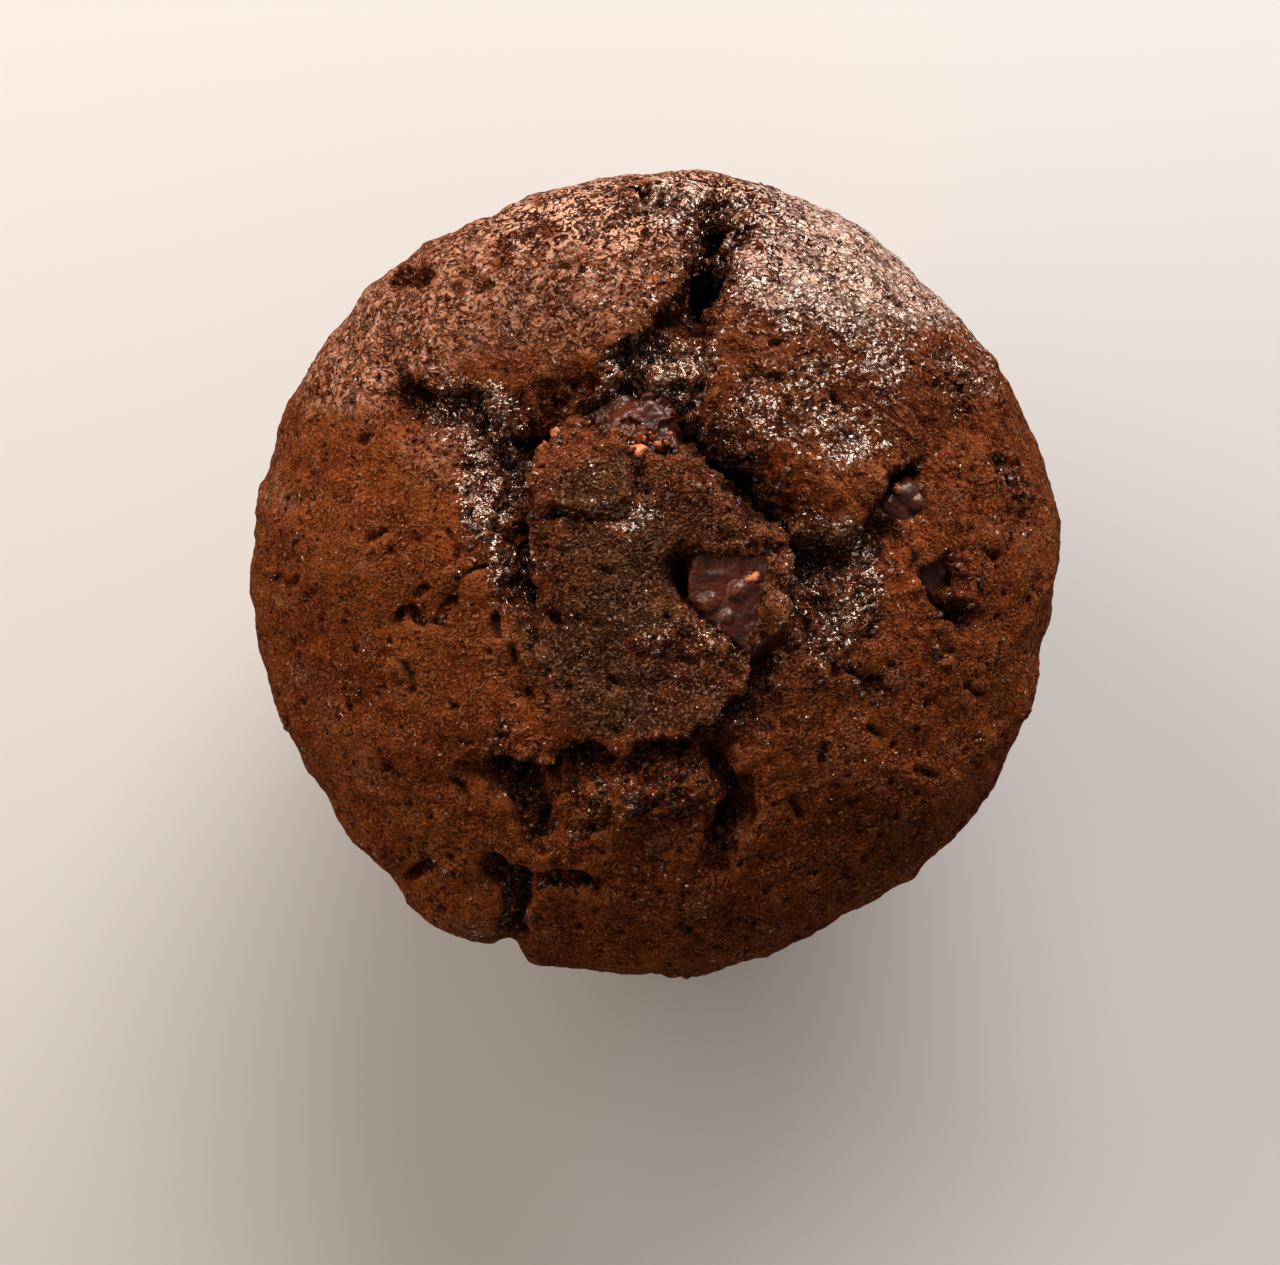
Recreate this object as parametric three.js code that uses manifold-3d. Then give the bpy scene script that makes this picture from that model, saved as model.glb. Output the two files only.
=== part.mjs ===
// A double chocolate muffin: a bare, tapered stump with soft flutes, a wide crown that has torn open as it
// rose, and four lumps of dark chocolate that lie in the torn crust. Millimetres, +Z up, origin at the
// middle of the flat foot.
import * as THREE from "three";
import { mergeVertices } from "three/addons/utils/BufferGeometryUtils.js";
import Module from "manifold-3d";

const wasm = await Module();
wasm.setup();

// ---------------------------------------------------------------- driving dimensions
const HEIGHT = 66; // foot to the middle of the crown
const CROWN_RADIUS = 46; // at the widest level of the crown
const CROWN_LEVEL = 42; // height of that level
const CREASE_RADIUS = 36.5; // where the crown's underside meets the stump
const CREASE_LEVEL = 33.5;
const FOOT_RADIUS = 29; // the stump at the foot, outside its rounded edge
const FOOT_ROUNDING = 2.5;
const FLUTES = 32; // soft ribs round the stump
const FLUTE_DEPTH = 0.55;
const CLEARANCE = 0.3; // between a lump of chocolate and the crumb round it

const CRUMB_COLOUR = 0x5a2c17;
const CHOCOLATE_COLOUR = 0x3a1d16;

// ---------------------------------------------------------------- the torn crown
// A tear is a line on the crown, seen from above. The crust on the left of it stands up by lip and dies away
// over lipReach. The other side drops by drop and climbs back to the dome over about twice dropReach.
// fade is how far the two ends taper out.
const TEARS = [
  {
    // the north-west cap, which has lifted clear of the middle
    line: [[-30, 23], [-24.5, 20], [-18.5, 18.5], [-17, 16.5], [-13, 16], [-7, 19], [-4.6, 23.4], [-0.4, 28],
      [3.2, 31.2], [3.5, 36], [6, 39.4], [7, 44]],
    lip: 1.6, drop: 3.4, lipReach: 7, dropReach: 3, fade: 5,
  },
  {
    // the plateau in the middle, all round from its south-west corner
    line: [[-23, -21.5], [-19.5, -19.8], [-13, -19], [-4, -18], [5, -16], [10.5, -7.5], [14, 1], [12.8, 6],
      [4.5, 13], [1, 16.5], [-4, 17], [-10.5, 16], [-13.3, 8], [-14, 3], [-12, -8]],
    lip: 1.0, drop: 3.6, lipReach: 6, dropReach: 2.8, fade: 7,
  },
  {
    // the crust west of the plateau
    line: [[-12.5, -9], [-15.8, -1], [-18.5, 7], [-21.5, 15]],
    lip: 0.6, drop: 1.8, lipReach: 7, dropReach: 3, fade: 6,
  },
  {
    // the big north-east lobe, down to its nose and the cleft beside that
    line: [[9, 43], [7, 37.6], [8, 33], [5.5, 25], [6, 21], [3.5, 17], [6.5, 13], [12.5, 8], [15, 4.2],
      [19.5, 3], [23, 6], [24.5, 10.5], [29.5, 12]],
    lip: 1.5, drop: 3.4, lipReach: 8, dropReach: 2.8, fade: 4,
  },
];

// A cleft is a split with a wall on either side: half its width, and its depth, at the deepest. The first runs
// in from the north rim, the next four edge the plateau, and the sixth parts the blob from the crust beside it.
const CLEFTS = [
  { line: [[7.6, 44], [6.6, 39.4], [5.7, 36.5], [5.9, 33], [5.4, 29]], halfWidth: 2.2, depth: 8, fade: 5 },
  { line: [[2.5, 18.5], [4, 14.5], [12.5, 6.8], [14.5, 3.5]], halfWidth: 2.7, depth: 5.4, fade: 3 },
  { line: [[5.3, -16.8], [8.3, -24.6], [6.8, -28.8], [5.4, -35]], halfWidth: 2.3, depth: 5, fade: 6 },
  { line: [[-19, -20], [-16, -21.4], [-13.6, -24.6], [-11.6, -30.2]], halfWidth: 2.4, depth: 4, fade: 3 },
  { line: [[-20, -32.6], [-14.5, -33.4], [-10, -33.2], [-4.8, -34.2]], halfWidth: 1.8, depth: 2.6, fade: 3 },
  { line: [[-19.5, -32.6], [-15.8, -34.3], [-15.3, -37], [-17, -42]], halfWidth: 1.6, depth: 3.2, fade: 2 },
  { line: [[28.5, 1], [31, -3], [36, -5.2]], halfWidth: 2.0, depth: 3.8, fade: 2.5 }, // east hole
  { line: [[18, -8], [22, -12], [27, -14.5]], halfWidth: 1.8, depth: 1.0, fade: 4 },
  { line: [[-30, 31], [-27.5, 32.8], [-24, 31]], halfWidth: 1.9, depth: 3.4, fade: 2 }, // rim cave
  { line: [[29, 26], [33, 20], [32.5, 14]], halfWidth: 2.2, depth: 1.0, fade: 5 },
  { line: [[36, 15], [39.5, 9], [41.5, 4]], halfWidth: 2.2, depth: 0.9, fade: 4 },
];

// A swelling is an oval rise, or a hollow where its height is below zero. One with a higher power is squarer,
// with a flatter top.
const SWELLINGS = [
  { at: [-7.5, 10.4], radii: [6.6, 5.6], height: 1.5, power: 6 }, // crumb over a block of chocolate
  { at: [17.5, 8.5], radii: [7, 6], height: 2.0 }, // nose of the north-east lobe
  { at: [2.6, -0.4], radii: [2.6, 3.6], height: -4.4 }, // hollow beside the middle lump
  { at: [19, -3], radii: [8, 9], height: -1.8 }, // sticky dip east of the plateau
  { at: [-2, -24], radii: [9, 4.5], height: 0.9 }, // crumb heaped south of the plateau
  { at: [5.7, 32.4], radii: [2.8, 4.8], height: -9 }, // hole in the north cleft
  { at: [12.9, 1.4], radii: [2, 4.2], height: 2.4 }, // crumb that grips the middle lump
  { at: [12.2, 4.4], radii: [2.6, 2], height: 2 },
  { at: [-25, 31], radii: [14, 9], height: 1.2 },
  { at: [-32, 2], radii: [12, 16], height: 0.8 },
  { at: [24, 24], radii: [14, 12], height: 1.4 },
  { at: [26, -22], radii: [14, 12], height: 0.8 },
  { at: [-21.5, -37.5], radii: [7, 4], height: 1.2 }, // blob that ran over the edge
];

// What the crown's outline gains or loses, at a bearing in degrees anticlockwise from +X.
const RIM_SHIFTS = [
  { bearing: 239, spread: 6, shift: 0.5 }, // the blob that ran over the edge
  { bearing: 229, spread: 3, shift: -0.7 },
  { bearing: 210, spread: 12, shift: -0.7 },
  { bearing: 248, spread: 3, shift: -1.8 },
  { bearing: 298, spread: 18, shift: -2.4 },
  { bearing: 313, spread: 6, shift: -0.8 },
  { bearing: 333, spread: 7, shift: -1.6 },
  { bearing: 350, spread: 9, shift: -2.2 },
  { bearing: 5, spread: 6, shift: 0.6 },
  { bearing: 45, spread: 16, shift: -1.3 },
  { bearing: 90, spread: 14, shift: -0.6 },
  { bearing: 117, spread: 12, shift: -1.4 },
];

// ---------------------------------------------------------------- helpers
const clamp01 = (value) => Math.min(1, Math.max(0, value));

/** 0 below low, 1 above high, and smooth between. */
function ramp(low, high, value) {
  const t = clamp01((value - low) / (high - low));
  return t * t * (3 - 2 * t);
}

/** A smooth line through a few points, as short straight steps with their distance along it. */
function traced(points) {
  const curve = new THREE.SplineCurve(points.map(([x, y]) => new THREE.Vector2(x, y)));
  const steps = Math.ceil(curve.getLength());
  return { dots: curve.getSpacedPoints(steps), length: curve.getLength() };
}

/** How far (x, y) is from a traced line, above zero on its left, and where on the line that is. */
function offsetFrom({ dots, length }, x, y) {
  const best = { distance: Infinity, lean: 0, along: 0 };
  for (let i = 0; i + 1 < dots.length; i++) {
    const [dx, dy] = [dots[i + 1].x - dots[i].x, dots[i + 1].y - dots[i].y];
    const [px, py] = [x - dots[i].x, y - dots[i].y];
    const stepLength = Math.hypot(dx, dy);
    const t = clamp01((px * dx + py * dy) / (stepLength * stepLength));
    const distance = Math.hypot(px - t * dx, py - t * dy);
    const lean = (dx * py - dy * px) / stepLength;
    const nearer = distance < best.distance - 1e-6;
    const sideIsSurer = distance < best.distance + 1e-6 && Math.abs(lean) > Math.abs(best.lean);
    if (nearer || sideIsSurer) {
      Object.assign(best, { distance, lean, along: ((i + t) / (dots.length - 1)) * length });
    }
  }
  return { offset: Math.sign(best.lean) * best.distance, along: best.along };
}

/** A geometry as a closed solid with shared corners. */
function solidOf(geometry) {
  const bare = geometry.clone().deleteAttribute("normal").deleteAttribute("uv");
  const merged = mergeVertices(bare, 1e-4);
  return new wasm.Manifold(
    new wasm.Mesh({
      numProp: 3,
      vertProperties: new Float32Array(merged.attributes.position.array),
      triVerts: new Uint32Array(merged.index.array),
    }),
  );
}

/** A named mesh of a solid. */
function meshOf(name, solid, material) {
  const { vertProperties, triVerts } = solid.getMesh();
  const geometry = new THREE.BufferGeometry();
  geometry.setAttribute("position", new THREE.BufferAttribute(vertProperties, 3));
  geometry.setIndex(new THREE.BufferAttribute(triVerts, 1));
  geometry.computeVertexNormals();
  const mesh = new THREE.Mesh(geometry, material);
  mesh.name = name;
  return mesh;
}

// ---------------------------------------------------------------- relief of the crown
const tears = TEARS.map((tear) => ({ ...tear, ...traced(tear.line) }));
const clefts = CLEFTS.map((cleft) => ({ ...cleft, ...traced(cleft.line) }));
const TEAR_EDGE = 1.1; // half the width of the wall at a tear
const SHOULDER = 0.9; // how far in from the wall a lip rounds over
const SHOULDER_DIP = 0.75; // the share of the lip's height that is lost at the wall itself
const FLAT_FLOOR = 0.2; // the share of dropReach over which the floor beside the wall is flat
const RUN_OUT = 2.2; // how many times dropReach it takes to climb back to the dome

/** 1 along the middle of a line, down to 0 at its two ends. */
const tapered = ({ length, fade }, along) => ramp(0, fade, along) * ramp(0, fade, length - along);

function tearHeight(tear, x, y) {
  const { offset, along } = offsetFrom(tear, x, y);
  const away = Math.abs(offset);
  const shoulder = 1 - SHOULDER_DIP * Math.exp(-away / SHOULDER);
  const raised = tear.lip * Math.exp(-away / tear.lipReach) * shoulder;
  const sunk = -tear.drop * ramp(RUN_OUT * tear.dropReach, FLAT_FLOOR * tear.dropReach, away);
  return tapered(tear, along) * THREE.MathUtils.lerp(sunk, raised, ramp(-TEAR_EDGE, TEAR_EDGE, offset));
}

function cleftHeight(cleft, x, y) {
  const { offset, along } = offsetFrom(cleft, x, y);
  const share = clamp01(1 - (offset / cleft.halfWidth) ** 2);
  return -cleft.depth * tapered(cleft, along) * share;
}

function swellingHeight({ at, radii, height, power = 2 }, x, y) {
  const [across, up] = [Math.abs(x - at[0]) / radii[0], Math.abs(y - at[1]) / radii[1]];
  return height * clamp01(1 - across ** power - up ** power) ** 2;
}

/** How far the crown's surface stands out from its smooth dome, above the point (x, y). */
function reliefAt(x, y) {
  const total = (features, heightOf) => features.reduce((sum, one) => sum + heightOf(one, x, y), 0);
  return total(tears, tearHeight) + total(clefts, cleftHeight) + total(SWELLINGS, swellingHeight);
}

function rimShiftAt(bearing) {
  return RIM_SHIFTS.reduce((sum, { bearing: middle, spread, shift }) => {
    const away = THREE.MathUtils.euclideanModulo(THREE.MathUtils.radToDeg(bearing) - middle + 180, 360) - 180;
    return sum + shift * Math.exp(-((away / spread) ** 2));
  }, 0);
}

// ---------------------------------------------------------------- smooth profile, pole to foot
const point2 = (x, y) => new THREE.Vector2(x, y);
const dome = new THREE.EllipseCurve(0, CROWN_LEVEL, CROWN_RADIUS, HEIGHT - CROWN_LEVEL, Math.PI / 2, 0, true);
const underside = new THREE.QuadraticBezierCurve(
  point2(CROWN_RADIUS, CROWN_LEVEL),
  point2(CROWN_RADIUS, CREASE_LEVEL + 0.5),
  point2(CREASE_RADIUS, CREASE_LEVEL),
);
const side = new THREE.LineCurve(point2(CREASE_RADIUS, CREASE_LEVEL), point2(FOOT_RADIUS, FOOT_ROUNDING));
const rounding = new THREE.QuadraticBezierCurve(
  point2(FOOT_RADIUS, FOOT_ROUNDING),
  point2(FOOT_RADIUS - 0.5, 0),
  point2(FOOT_RADIUS - FOOT_ROUNDING, 0),
);

/** A curve's point and the way the crumb faces there, a share of the way along it. */
function profileAt(curve, share) {
  const { x, y } = curve.getTangentAt(share);
  return { point: curve.getPointAt(share), outward: point2(-y, x) };
}

// ---------------------------------------------------------------- the crumb
const RINGS = FLUTES; // rings of points on the crown; the outermost has six to a flute
const UNDERSIDE_ROWS = 4;
const SIDE_ROWS = 5;
const ROUNDING_ROWS = 2;
const TUCK = 14; // how far above the widest level the outline's shifts begin

/** A point of the crown, share of the way from the middle to the rim. */
function onCrown(share, bearing) {
  const { point, outward } = profileAt(dome, share);
  const fade = 1 - ramp(0.9, 1, share);
  const relief = reliefAt(point.x * Math.cos(bearing), point.x * Math.sin(bearing)) * fade;
  const radius = point.x + outward.x * relief + rimShiftAt(bearing) * ramp(TUCK, 0, point.y - CROWN_LEVEL);
  return [radius * Math.cos(bearing), radius * Math.sin(bearing), point.y + outward.y * relief];
}

/** A point of the underside, the side or the rounded foot. */
function belowCrown(curve, share, bearing) {
  const { point } = profileAt(curve, share);
  const shift = rimShiftAt(bearing) * (curve === underside ? 1 - ramp(0, 1, share) : 0);
  const faded = curve === side ? ramp(0, 0.2, share) * (1 - ramp(0.8, 1, share)) : 0;
  const radius = point.x + shift + FLUTE_DEPTH * Math.cos(FLUTES * bearing) * faded;
  return [radius * Math.cos(bearing), radius * Math.sin(bearing), point.y];
}

function crumbSolid() {
  const positions = [[0, 0, HEIGHT + reliefAt(0, 0)]];
  const faces = [];
  const addRing = (count, place) => {
    const first = positions.length;
    for (let i = 0; i < count; i++) {
      positions.push(place((2 * Math.PI * i) / count));
    }
    return (i) => first + (i % count);
  };

  // The crown: each ring has six points more than the ring inside it, so its triangles stay even.
  let inner = () => 0;
  for (let ring = 1; ring <= RINGS; ring++) {
    const outer = addRing(6 * ring, (bearing) => onCrown(ring / RINGS, bearing));
    for (let sector = 0; sector < 6; sector++) {
      for (let i = 0; i < ring; i++) {
        const [far, near] = [sector * ring + i, sector * (ring - 1) + i];
        faces.push([outer(far), outer(far + 1), inner(near)]);
        if (i + 1 < ring) {
          faces.push([inner(near), outer(far + 1), inner(near + 1)]);
        }
      }
    }
    inner = outer;
  }

  // Everything below it, in rows of the same count.
  for (const [curve, rows] of [[underside, UNDERSIDE_ROWS], [side, SIDE_ROWS], [rounding, ROUNDING_ROWS]]) {
    for (let row = 1; row <= rows; row++) {
      const outer = addRing(6 * RINGS, (bearing) => belowCrown(curve, row / rows, bearing));
      for (let i = 0; i < 6 * RINGS; i++) {
        faces.push([inner(i), outer(i), outer(i + 1)], [inner(i), outer(i + 1), inner(i + 1)]);
      }
      inner = outer;
    }
  }

  // The flat foot.
  const middle = positions.push([0, 0, 0]) - 1;
  for (let i = 0; i < 6 * RINGS; i++) {
    faces.push([inner(i), middle, inner(i + 1)]);
  }

  const geometry = new THREE.BufferGeometry();
  geometry.setAttribute("position", new THREE.Float32BufferAttribute(positions.flat(), 3));
  geometry.setIndex(faces.flat());
  return solidOf(geometry);
}

// ---------------------------------------------------------------- lumps of chocolate
// outline is a lump seen from above, top the level of its face's middle, and lean tips it over, in degrees
// about +X and +Y.
const LUMPS = [
  {
    name: "chocolate_middle", top: 64.6, depth: 6.5, lean: [3, -9],
    outline: [[4.4, 2.9], [4.0, -4], [8, -7.8], [9.8, -8.6], [12.2, -3.6], [12.4, 2.4]],
  },
  {
    name: "chocolate_north", top: 64.0, depth: 5, lean: [-11, 2],
    outline: [[-8.8, 14.2], [-3.8, 13.2], [-2.2, 11.4], [0.4, 11.2], [2.2, 13.2], [1.8, 16], [-2, 17.8],
      [-8, 17.2]],
  },
  {
    name: "chocolate_cleft", top: 59.6, depth: 4, lean: [-10, 24],
    outline: [[24.2, 6.8], [27.9, 5.6], [29.3, 8.6], [27.2, 10.8], [24.6, 9.8]],
  },
  {
    name: "chocolate_east", top: 57.6, depth: 4, lean: [4, 24],
    outline: [[28.2, -1.2], [31.6, -2.8], [33.4, -0.2], [31, 2.4], [28.6, 1.8]],
  },
];
const LUMP_BEVEL = 0.7;

/** A lump as a solid, grown by extra on all sides and drawn out upwards by above. */
function lumpSolid({ outline, top, depth, lean }, extra = 0, above = 0) {
  const corners = outline.map(([x, y]) => new THREE.Vector2(x, y));
  const middle = new THREE.Box2().setFromPoints(corners).getCenter(new THREE.Vector2());
  const shape = new THREE.Shape(corners.map((corner) => corner.clone().sub(middle)));
  const block = new THREE.ExtrudeGeometry(shape, {
    depth: depth - 2 * LUMP_BEVEL + above,
    bevelSize: LUMP_BEVEL + extra,
    bevelThickness: LUMP_BEVEL + extra,
    bevelOffset: -LUMP_BEVEL,
    bevelSegments: 2,
  });
  block.translate(0, 0, LUMP_BEVEL - depth);
  block.rotateX(THREE.MathUtils.degToRad(lean[0]));
  block.rotateY(THREE.MathUtils.degToRad(lean[1]));
  block.translate(middle.x, middle.y, top);
  return solidOf(block);
}

// ---------------------------------------------------------------- assembly
const crumbMaterial = new THREE.MeshStandardMaterial({ color: CRUMB_COLOUR, roughness: 0.85, metalness: 0 });
const chocolateMaterial = new THREE.MeshStandardMaterial({
  color: CHOCOLATE_COLOUR,
  roughness: 0.4,
  metalness: 0,
});

const DRAWN_OUT = 20; // how far a lump's pocket runs up, so that it is open on top
const pockets = LUMPS.map((lump) => lumpSolid(lump, CLEARANCE, DRAWN_OUT));
const pocketed = pockets.reduce((crumb, pocket) => crumb.subtract(pocket), crumbSolid());

const muffin = new THREE.Group();
muffin.name = "chocolate_muffin";
muffin.add(meshOf("crumb", pocketed, crumbMaterial));
for (const lump of LUMPS) {
  muffin.add(meshOf(lump.name, lumpSolid(lump), chocolateMaterial));
}

export default muffin;
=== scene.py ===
# %% [markdown]
# # A double chocolate muffin
#
# The muffin is one lump of baked crumb. Its crown rose, set and tore open, so it has a smooth thin crust,
# rough torn crumb between the crusts, and lumps of chocolate that lie in the tears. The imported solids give
# the size and the place of everything. This script gives the same forms their crust, crumb, pores and shine.
#
# The work goes as a sculptor's does: a plain form first, then the large tears, then the grain, and colour
# last. Lengths in the sculpting cells are millimetres, and become metres only when they go into Blender.

# %% Load the frame
import math

import bpy
import numpy as np
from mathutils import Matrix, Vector


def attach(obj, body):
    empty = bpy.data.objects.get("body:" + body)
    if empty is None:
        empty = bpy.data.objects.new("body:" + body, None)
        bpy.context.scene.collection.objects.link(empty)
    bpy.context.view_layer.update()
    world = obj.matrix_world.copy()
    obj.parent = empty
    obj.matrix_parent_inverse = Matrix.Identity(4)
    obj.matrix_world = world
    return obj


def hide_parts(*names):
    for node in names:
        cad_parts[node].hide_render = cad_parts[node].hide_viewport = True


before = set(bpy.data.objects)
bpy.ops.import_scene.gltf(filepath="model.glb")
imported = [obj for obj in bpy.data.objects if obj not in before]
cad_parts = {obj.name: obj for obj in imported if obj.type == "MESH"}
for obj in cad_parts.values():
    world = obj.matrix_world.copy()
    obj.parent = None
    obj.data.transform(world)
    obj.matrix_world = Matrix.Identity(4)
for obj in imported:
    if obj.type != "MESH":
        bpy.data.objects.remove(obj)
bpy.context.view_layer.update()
MM = 0.001
print("solids in the frame:", sorted(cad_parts))

# %% [markdown]
# ## Small tools
#
# An operator works on all that is selected, so each step starts by picking one object and nothing else. An
# object that was just added is picked already. Vertices are read and written as arrays: a loop over half a
# million of them would take minutes.

# %% Pick an object, and add a modifier for good


def pick(piece):
    """Makes one object the only one that operators act on."""
    bpy.ops.object.select_all(action="DESELECT")
    piece.select_set(True)
    bpy.context.view_layer.objects.active = piece


def finish_with(piece, kind, **settings):
    """Adds a modifier with these settings and applies it at once."""
    pick(piece)
    modifier = piece.modifiers.new(kind.title(), kind)
    for name, value in settings.items():
        setattr(modifier, name, value)
    bpy.ops.object.modifier_apply(modifier=modifier.name)


def remeshed(piece, size):
    """Gives a closed form an even new skin with faces about size millimetres wide."""
    finish_with(piece, "REMESH", mode="VOXEL", voxel_size=size * MM)


def rows_of(piece, name):
    """What each vertex holds under a name, as rows of three numbers."""
    flat = np.empty(len(piece.data.vertices) * 3)
    piece.data.vertices.foreach_get(name, flat)
    return flat.reshape(-1, 3)


def corners_mm(piece):
    """All vertices of a mesh, in millimetres."""
    return rows_of(piece, "co") / MM


def facings(piece):
    """The direction that the surface faces at each vertex."""
    return rows_of(piece, "normal")


def put_corners(piece, places):
    piece.data.vertices.foreach_set("co", (places * MM).ravel())
    piece.data.update()


def ramp(low, high, value):
    """0 at low, 1 at high, smooth between, also for a high below low."""
    share = np.clip((value - low) / (high - low), 0, 1)
    return share * share * (3 - 2 * share)


# %% [markdown]
# ## Randomness with a size
#
# Two kinds of random pattern shape the crumb. `cloud` is a soft one, from random values on a grid with smooth
# steps between them. `grains` puts one point at a random place in each cell of a grid and gives the distance
# to the nearest: turned over, it is a heap of round grains with dark seams between them, like torn crumb.

# %% Soft and grainy patterns
CELLS = 64
dice = np.random.default_rng(11)
lattice = dice.random((CELLS, CELLS, CELLS)) * 2 - 1
lattice_points = dice.random((CELLS, CELLS, CELLS, 3))


def cloud(at, size, shift=0.0):
    """Smooth random values from -1 to 1 whose lumps are about size across."""
    scaled = at / size + shift
    low = np.floor(scaled).astype(int)
    part = scaled - low
    part = part * part * (3 - 2 * part)
    total = np.zeros(len(at))
    for step in np.ndindex(2, 2, 2):
        weight = np.prod(np.where(step, part, 1 - part), axis=1)
        x, y, z = ((low + step) % CELLS).T
        total += weight * lattice[x, y, z]
    return total


def clouds(at, size, octaves, shift=0.0):
    """Several clouds on each other, each half the size and half as strong as the one before."""
    return sum(cloud(at, size / 2**i, shift + 17.3 * i) / 2**i for i in range(octaves))


def grains(at, size, shift=0.0):
    """How far the centre of the nearest grain is, in grain sizes."""
    scaled = at / size + shift
    low = np.floor(scaled).astype(int)
    nearest = np.full(len(at), np.inf)
    for step in np.ndindex(3, 3, 3):
        cell = low + step - 1
        x, y, z = (cell % CELLS).T
        away = np.sqrt(((cell + lattice_points[x, y, z] - scaled) ** 2).sum(axis=1))
        nearest = np.minimum(nearest, away)
    return nearest


# %% [markdown]
# ## Camera
#
# The muffin is looked at from straight above, 300 mm over the widest level of its crown. The camera stands a
# little to the lower left, so a touch more of the near flank shows.

# %% Camera over the crown
CROWN_LEVEL = 42.0
CAMERA_RISE = 300.0
CAMERA_X, CAMERA_Y = -1.94, -6.57

bpy.ops.object.camera_add(
    location=(CAMERA_X * MM, CAMERA_Y * MM, (CROWN_LEVEL + CAMERA_RISE) * MM), rotation=(0, 0, 0)
)
camera = bpy.context.object
camera.data.lens = 73.8
camera.data.sensor_width = 36
camera.data.clip_start = 0.01
bpy.context.scene.camera = camera

# %% [markdown]
# ## The plain form
#
# A muffin is round before it tears: a tapered stump, an overhanging underside and a low dome. The crown and
# the stump meet in the crease under the overhang, so each is a closed form of its own, and the stump's top
# ends inside the crown. A circle is added at the lowest level and extruded from level to level, each new ring
# scaled and lifted to the next, as a potter pulls up a wall.

# %% Rings of the plain muffin
HEIGHT = 66.0
CROWN_RADIUS = 46.0
CREASE_RADIUS = 36.5
CREASE_LEVEL = 33.5
FOOT_RADIUS = 29.0
FOOT_ROUNDING = 2.5
SEGMENTS = 192


def bow(start, pull, end, share):
    """A point of the arc from start to end that leans towards pull."""
    a, b, c = (1 - share) ** 2, 2 * share * (1 - share), share**2
    return [a * s + b * p + c * e for s, p, e in zip(start, pull, end)]


def pulled_up(name, rings):
    """A closed round form through (radius, level) rings, from the lowest to the highest."""
    bpy.ops.mesh.primitive_circle_add(
        vertices=SEGMENTS, radius=rings[0][0] * MM, fill_type="TRIFAN", location=(0, 0, rings[0][1] * MM)
    )
    piece = bpy.context.object
    piece.name = name
    bpy.ops.object.transform_apply(location=True)
    bpy.ops.object.mode_set(mode="EDIT")
    bpy.ops.mesh.select_all(action="SELECT")
    bpy.ops.mesh.region_to_loop()
    for (radius, level), (next_radius, next_level) in zip(rings, rings[1:]):
        growth = next_radius / radius
        bpy.ops.mesh.extrude_edges_move(TRANSFORM_OT_translate={"value": (0, 0, (next_level - level) * MM)})
        bpy.ops.transform.resize(value=(growth, growth, 1), center_override=(0, 0, next_level * MM))
    bpy.ops.mesh.edge_face_add()
    bpy.ops.mesh.select_all(action="SELECT")
    bpy.ops.mesh.normals_make_consistent(inside=False)
    bpy.ops.object.mode_set(mode="OBJECT")
    return piece


foot_edge = (FOOT_RADIUS - FOOT_ROUNDING, 0)
foot_top = (FOOT_RADIUS, FOOT_ROUNDING)
crease_edge = (CREASE_RADIUS, CREASE_LEVEL)
stump_rings = [bow(foot_edge, (FOOT_RADIUS - 0.5, 0), foot_top, share) for share in np.linspace(0, 1, 5)]
stump_rings += [bow(foot_top, foot_top, crease_edge, share) for share in np.linspace(0.1, 1, 16) ** 0.5]
stump_rings += [(CREASE_RADIUS - 0.8, CREASE_LEVEL + 1.2)]
underside = [
    bow(crease_edge, (CROWN_RADIUS, CREASE_LEVEL + 0.5), (CROWN_RADIUS, CROWN_LEVEL), share)
    for share in np.linspace(0, 1, 12)
]
dome = [
    (CROWN_RADIUS * math.cos(lift), CROWN_LEVEL + (HEIGHT - CROWN_LEVEL) * math.sin(lift))
    for lift in np.linspace(0, math.pi / 2, 40)[1:-1]
]
stump = pulled_up("crumb_stump", stump_rings)
crown = pulled_up("crumb_crown", underside + dome)
remeshed(stump, 0.5)
remeshed(crown, 0.4)
print("plain crown:", len(crown.data.vertices), "vertices; plain stump:", len(stump.data.vertices))

# %% [markdown]
# ## Tears and clefts
#
# The crown tore along a few lines. On one side of a tear the crust stands up in a lip, on the other side the
# torn crumb sinks away from it. A cleft is a plain split with a wall on either side. Each is a smooth line
# through a few points seen from above, the same lines as in the solids.

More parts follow.
